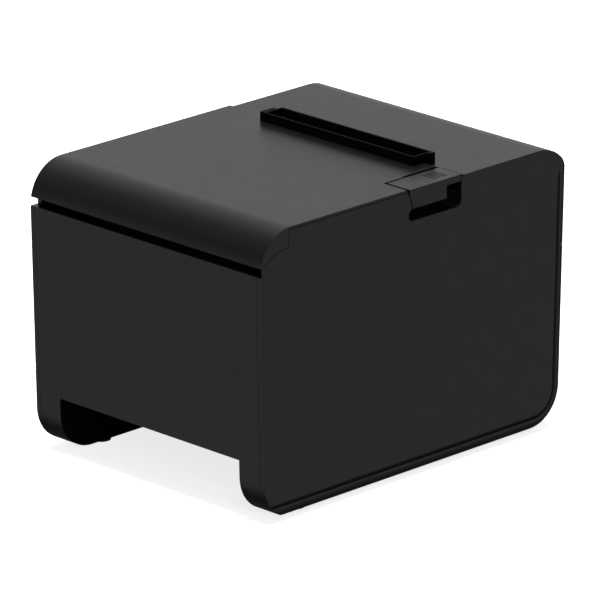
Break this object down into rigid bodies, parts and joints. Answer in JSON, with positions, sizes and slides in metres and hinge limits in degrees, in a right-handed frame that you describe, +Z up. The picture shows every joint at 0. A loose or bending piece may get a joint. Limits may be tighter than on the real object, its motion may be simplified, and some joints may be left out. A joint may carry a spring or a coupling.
{
  "type": "receipt printer",
  "caption": "Square black counter-top receipt printer with a hinged rear lid, paper slot with raised surround, side release lever, rear cable bay and a roll bin inside.",
  "frame": {"origin": "table plane below the middle of the case", "axes": "+Z up, -Y towards the operator at the front, +Y towards the rear face and cable bay, +X to the right of a person facing the rear from the front"},
  "size_m": [0.145, 0.1955, 0.1391],
  "materials": {
    "case_black": "fine matt texture",
    "trim_black": "satin",
    "clear_guide": "satin, translucent",
    "gear_plastic": "satin",
    "steel": "satin",
    "spring_steel": "bright",
    "alloy": "satin",
    "bronze": "sintered",
    "ceramic": "gloss",
    "rubber": "matt",
    "board": "solder mask",
    "chips": "moulded"
  },
  "bodies": {
    "base": {"base_housing": "case_black", "bottom_cover": "case_black", "left_side_panel": "case_black", "right_side_panel": "case_black", "front_cover": "case_black", "front_bezel": "trim_black", "light_guide": "clear_guide", "button_board": "board", "paper_bin": "case_black", "bin_cheeks": "case_black", "left_frame": "steel", "right_frame": "steel", "hinge_brackets": "steel", "hinge_pins": "steel", "latch_studs": "steel", "feed_motor": "steel", "idler_stud": "steel", "paper_guide": "trim_black", "paper_sensor": "trim_black", "roll_sensor": "trim_black", "head_bracket": "steel", "head_springs": "spring_steel", "head_rod": "steel", "fixed_blade": "steel", "main_board": "board", "board_chips": "chips", "power_inlet": "trim_black", "usb_port": "steel", "lan_port": "steel", "drawer_port": "trim_black", "serial_port": "steel", "rubber_feet": "rubber", "bottom_screws": "steel", "board_screws": "steel", "frame_screws": "steel"},
    "lid": {"lid_cover": "case_black", "lid_bezel": "trim_black", "lid_frame": "case_black", "lid_screws": "steel", "platen_bushes": "bronze", "cutter_frame": "steel", "cutter_motor": "steel", "latch_spring": "spring_steel", "lever_pin": "steel"},
    "platen": {"platen_roller": "rubber", "platen_shaft": "steel", "platen_gear": "gear_plastic"},
    "idler": {"idler_gear": "gear_plastic"},
    "feed_rotor": {"motor_pinion": "alloy"},
    "print_head": {"head_heatsink": "alloy", "head_ceramic": "ceramic"},
    "blade": {"cutter_blade": "steel"},
    "cutter_wheel": {"cutter_gear": "gear_plastic"},
    "cutter_rotor": {"cutter_pinion": "alloy"},
    "latch": {"latch_shaft": "steel", "latch_hooks": "steel"},
    "lever": {"release_lever": "case_black"},
    "feed_key": {"feed_button": "trim_black"},
    "power_key": {"power_button": "trim_black"}
  },
  "joints": [
    {"name": "lid_hinge", "type": "hinge", "parent": "base", "child": "lid", "pos_m": [0, 0.08, 0.101], "axis": [-1, 0, 0], "range_deg": [0, 72]},
    {"name": "platen_spin", "type": "hinge", "parent": "lid", "child": "platen", "pos_m": [0, -0.019, 0.107], "axis": [1, 0, 0], "continuous": true},
    {"name": "idler_spin", "type": "hinge", "parent": "base", "child": "idler", "pos_m": [0, -0.02028, 0.08614], "axis": [1, 0, 0], "continuous": true},
    {"name": "motor_spin", "type": "hinge", "parent": "base", "child": "feed_rotor", "pos_m": [0, -0.03043, 0.07164], "axis": [1, 0, 0], "continuous": true},
    {"name": "head_tilt", "type": "hinge", "parent": "base", "child": "print_head", "pos_m": [0, -0.031, 0.097], "axis": [1, 0, 0], "range_deg": [0, 1.5], "stiffness_Nm_per_rad": 2, "springref_deg": -11.46, "deforming": ["head_springs"]},
    {"name": "blade_slide", "type": "slide", "parent": "lid", "child": "blade", "axis": [0, -1, 0], "range_m": [0, 0.0056]},
    {"name": "cutter_wheel_spin", "type": "hinge", "parent": "lid", "child": "cutter_wheel", "pos_m": [0.04905, -0.012, 0.122], "axis": [0, 0, 1], "range_deg": [0, 40.2]},
    {"name": "cutter_motor_spin", "type": "hinge", "parent": "lid", "child": "cutter_rotor", "pos_m": [0.05962, -0.0194, 0.122], "axis": [0, 0, -1], "range_deg": [0, 66.9]},
    {"name": "lever_lift", "type": "hinge", "parent": "lid", "child": "lever", "pos_m": [0, -0.0005, 0.131], "axis": [-1, 0, 0], "range_deg": [0, 10], "stiffness_Nm_per_rad": 0.05, "springref_deg": -17.19},
    {"name": "latch_swing", "type": "hinge", "parent": "lid", "child": "latch", "pos_m": [0, 0.004, 0.122], "axis": [-1, 0, 0], "range_deg": [0, 6.7]},
    {"name": "feed_press", "type": "slide", "parent": "base", "child": "feed_key", "axis": [0, 1, 0], "range_m": [0, 0.0012], "stiffness_N_per_m": 120, "springref_m": -0.001},
    {"name": "power_press", "type": "slide", "parent": "base", "child": "power_key", "axis": [0, 1, 0], "range_m": [0, 0.0012], "stiffness_N_per_m": 120, "springref_m": -0.001}
  ],
  "couplings": [
    {"joint": "idler_spin", "follows": "platen_spin", "ratio": -0.73333},
    {"joint": "motor_spin", "follows": "platen_spin", "ratio": 1.5714},
    {"joint": "cutter_wheel_spin", "follows": "blade_slide", "rad_per_m": 125},
    {"joint": "cutter_motor_spin", "follows": "blade_slide", "rad_per_m": 208.33},
    {"joint": "latch_swing", "follows": "lever_lift", "ratio": 0.66}
  ]
}
